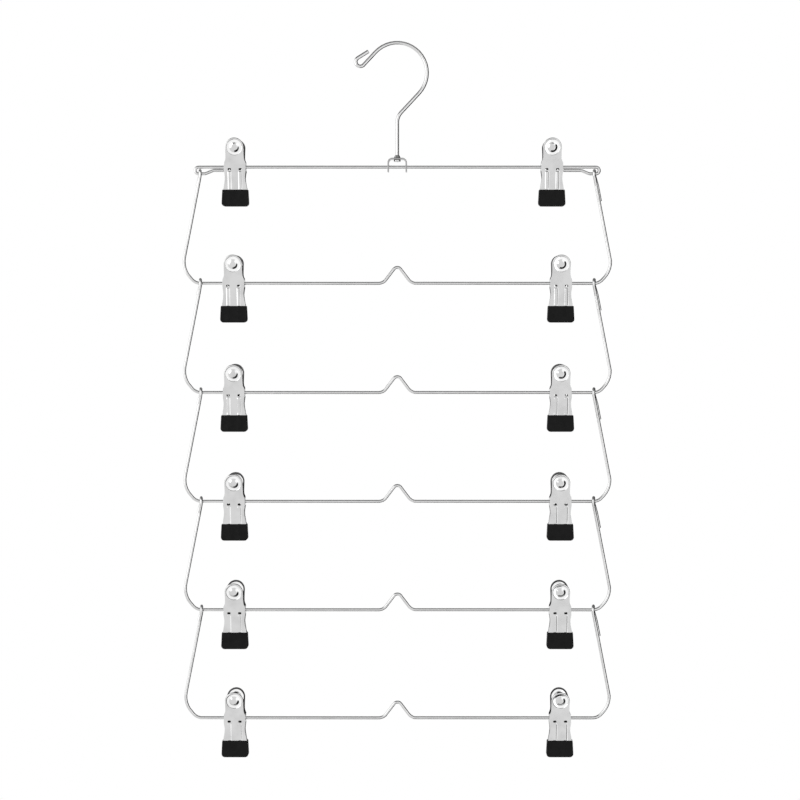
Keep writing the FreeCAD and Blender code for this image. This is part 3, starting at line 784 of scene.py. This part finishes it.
def makeSpring():
    first = 180 + spring["lean"]
    last = 360 * spring["turns"] - spring["lean"]
    climb = spring["pitch"] * (last - first) / 360
    ringSides = spring["wireSides"]
    piece = startRing(ringSides, spring["wire"], coilPoint(first, -climb / 2), coilWay(first))
    steps = round((last - first) / spring["stepAngle"])
    modify(piece, "SCREW", axis="X", angle=math.radians(last - first), screw_offset=climb * mm, iterations=1,
           steps=steps, render_steps=steps)
    edit(piece)
    count = len(piece.data.vertices)
    pick("VERT", lambda vert: vert.index < ringSides)
    extrude(-coilWay(first) * spring["leg"] * mm)
    pick("VERT", lambda vert: count - ringSides <= vert.index < count)
    extrude(coilWay(last) * spring["leg"] * mm)
    closeEnds(ringSides, spring["endInset"], spring["endLift"])
    return rename(piece, "springMaster")


# clips: one plate, pad and spring are made, and each clip gets its own copies

def makeClips():
    plateMaster = makePlate()
    print("clip plate pressed:", len(plateMaster.data.polygons), "faces")
    padMaster = makePad()
    springMaster = makeSpring()
    print("pad and spring made")
    plateEnd = plate["rowTable"][-1][0]
    for row in rows:
        for side in sides:
            clip = f"clip_{row}_{side}"
            name = f"clip{row}{side.capitalize()}"
            low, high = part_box(f"{clip}_front_plate")
            centre = Vector(((low.x + high.x) / 2, 0, low.z - plateEnd * mm))
            front = copyTo(plateMaster, f"{name}FrontPlate", centre)
            dress(front, "platePlating", "plate", f"{clip}_front", f"{clip}_front_plate")
            back = copyTo(plateMaster, f"{name}BackPlate", centre, 180)
            dress(back, "platePlating", "plate", f"{clip}_back", f"{clip}_back_jaw")
            frontPad = copyTo(padMaster, f"{name}FrontPad", centre)
            dress(frontPad, "blackRubber", "pad", f"{clip}_front", f"{clip}_front_pad")
            backPad = copyTo(padMaster, f"{name}BackPad", centre, 180)
            dress(backPad, "blackRubber", "pad", f"{clip}_back")
            coil = copyTo(springMaster, f"{name}Spring", centre)
            dress(coil, "springSteel", "spring", None, f"{clip}_spring")
            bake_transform(coil)
    for master in (plateMaster, padMaster, springMaster):
        bpy.data.objects.remove(master)


makeClips()
print("clips in place")

# stage, in metres: pale floor far below, white surroundings, cards that draw the edges of the chrome

stage = {"middle": (0.0, 0.0, -0.29), "floorDrop": 0.80, "floorRadius": 0.5, "floorSides": 96,
         "floorTone": 0.86, "floorRoughness": 0.9, "fadeFrom": 0.4, "fadeTo": 0.95,
         "worldTone": 0.8, "worldStrength": 0.7}
curvedCard = {"radius": 1.7, "height": 4.0, "sides": 72}
curvedCards = {"rightCard": {"tilt": 0, "first": 55, "last": 165, "tone": 0.03},
               "rightStrip": {"tilt": 0, "first": 22, "last": 48, "tone": 1.5},
               "topCard": {"tilt": -90, "first": 40, "last": 160, "tone": 0.2}}
lowCard = {"place": (0.5, 0.0, -2.2), "radius": 1.1, "sides": 48, "tone": 0.02}
lamps = {"leftSoftbox": {"place": (-1.4, -0.7, 0.1), "size": (1.4, 1.8), "watts": 10},
         "overheadSoftbox": {"place": (0.2, -0.5, 1.5), "size": (1.2, 1.2), "watts": 8}}


def aimFrom(place, axis):
    # the turn that points this axis at the middle of the hanger
    return (Vector(stage["middle"]) - Vector(place)).to_track_quat(axis, "Y").to_euler()


def makeFloor():
    # the floor takes the shadow, and fades to white before its edge
    clearSelection()
    bpy.ops.mesh.primitive_circle_add(vertices=stage["floorSides"], radius=stage["floorRadius"],
                                      fill_type="NGON", location=(0, 0, -stage["floorDrop"]))
    floor = bpy.context.object
    floor.name = "floor"
    material = bpy.data.materials.new("paleFloor")
    material.use_nodes = True
    nodes = material.node_tree.nodes
    link = material.node_tree.links.new
    shader = nodes["Principled BSDF"]
    shader.inputs["Base Color"].default_value = grey(stage["floorTone"])
    shader.inputs["Roughness"].default_value = stage["floorRoughness"]
    white = nodes.new("ShaderNodeEmission")
    place = nodes.new("ShaderNodeTexCoord")
    distance = nodes.new("ShaderNodeVectorMath")
    distance.operation = "LENGTH"
    fade = addRange(nodes, [stage["floorRadius"] * stage[share] for share in ("fadeFrom", "fadeTo")])
    mix = nodes.new("ShaderNodeMixShader")
    link(place.outputs["Object"], distance.inputs[0])
    link(distance.outputs["Value"], fade.inputs["Value"])
    link(fade.outputs["Result"], mix.inputs["Fac"])
    link(shader.outputs["BSDF"], mix.inputs[1])
    link(white.outputs["Emission"], mix.inputs[2])
    link(mix.outputs["Shader"], nodes["Material Output"].inputs["Surface"])
    floor.data.materials.append(material)
    floor.visible_glossy = False


def hideCard(card, name, tone):
    # a card is seen only in reflections
    card.name = name
    material = bpy.data.materials.new(name)
    material.use_nodes = True
    nodes = material.node_tree.nodes
    nodes.remove(nodes["Principled BSDF"])
    glow = nodes.new("ShaderNodeEmission")
    glow.inputs["Color"].default_value = grey(tone)
    material.node_tree.links.new(glow.outputs["Emission"], nodes["Material Output"].inputs["Surface"])
    card.data.materials.append(material)
    card.visible_camera = False
    card.visible_diffuse = False
    card.visible_shadow = False
    card.visible_transmission = False


def makeCurvedCard(name, tilt, first, last, tone):
    # angles run from the front towards the right
    clearSelection()
    bpy.ops.mesh.primitive_cylinder_add(vertices=curvedCard["sides"], radius=curvedCard["radius"],
                                        depth=curvedCard["height"], end_fill_type="NOTHING",
                                        location=(0, 0, 0))
    card = bpy.context.object
    edit(card)

    def outside(face):
        spot = face.calc_center_median()
        return not between(math.degrees(math.atan2(spot.x, -spot.y)) % 360, first, last)

    pick("FACE", outside)
    bpy.ops.mesh.delete(type="FACE")
    bpy.ops.object.mode_set(mode="OBJECT")
    card.rotation_euler = (0, math.radians(tilt), 0)
    card.location = stage["middle"]
    hideCard(card, name, tone)


def makeLowCard():
    clearSelection()
    bpy.ops.mesh.primitive_circle_add(vertices=lowCard["sides"], radius=lowCard["radius"], fill_type="NGON",
                                      location=lowCard["place"], rotation=aimFrom(lowCard["place"], "Z"))
    hideCard(bpy.context.object, "lowCard", lowCard["tone"])


def makeWorld():
    # a plain grey light, but white to the camera, in metal and through anything clear
    world = bpy.data.worlds.new("studio")
    bpy.context.scene.world = world
    world.use_nodes = True
    nodes = world.node_tree.nodes
    link = world.node_tree.links.new
    ambient = nodes["Background"]
    ambient.inputs["Color"].default_value = grey(stage["worldTone"])
    ambient.inputs["Strength"].default_value = stage["worldStrength"]
    white = nodes.new("ShaderNodeBackground")
    white.inputs["Color"].default_value = grey(1)
    path = nodes.new("ShaderNodeLightPath")
    seen = path.outputs["Is Camera Ray"]
    for ray in ("Is Glossy Ray", "Is Transmission Ray"):
        either = nodes.new("ShaderNodeMath")
        either.operation = "ADD"
        either.use_clamp = True
        link(seen, either.inputs[0])
        link(path.outputs[ray], either.inputs[1])
        seen = either.outputs["Value"]
    mix = nodes.new("ShaderNodeMixShader")
    link(seen, mix.inputs["Fac"])
    link(ambient.outputs["Background"], mix.inputs[1])
    link(white.outputs["Background"], mix.inputs[2])
    link(mix.outputs["Shader"], nodes["World Output"].inputs["Surface"])


def makeLamp(name, place, size, watts):
    clearSelection()
    bpy.ops.object.light_add(type="AREA", location=place, rotation=aimFrom(place, "-Z"))
    lamp = bpy.context.object
    lamp.name = name
    lamp.data.shape = "RECTANGLE"
    lamp.data.size, lamp.data.size_y = size
    lamp.data.energy = watts


# camera: frameCentre and frameWidth are the part of the hanger's plane that fills the square image

camera = {"distance": 1.3, "across": 0.020, "height": -0.211, "pitch": 1.5, "frameCentre": (0.0022, -0.2895),
          "frameWidth": 0.654, "sensor": 36.0}


def makeCamera():
    clearSelection()
    bpy.ops.object.camera_add(location=(camera["across"], -camera["distance"], camera["height"]),
                              rotation=(math.radians(90 - camera["pitch"]), 0, 0))
    eye = bpy.context.object
    aim = camera["height"] - camera["distance"] * math.tan(math.radians(camera["pitch"]))
    eye.data.sensor_width = camera["sensor"]
    eye.data.lens = camera["sensor"] * camera["distance"] / camera["frameWidth"]
    eye.data.shift_x = (camera["frameCentre"][0] - camera["across"]) / camera["frameWidth"]
    eye.data.shift_y = (camera["frameCentre"][1] - aim) / camera["frameWidth"]
    bpy.context.scene.camera = eye


makeFloor()
for cardName, card in curvedCards.items():
    makeCurvedCard(cardName, **card)
makeLowCard()
makeWorld()
for lampName, lamp in lamps.items():
    makeLamp(lampName, **lamp)
makeCamera()
bpy.context.scene.view_settings.view_transform = "Standard"
print("stage, lamps and camera set")
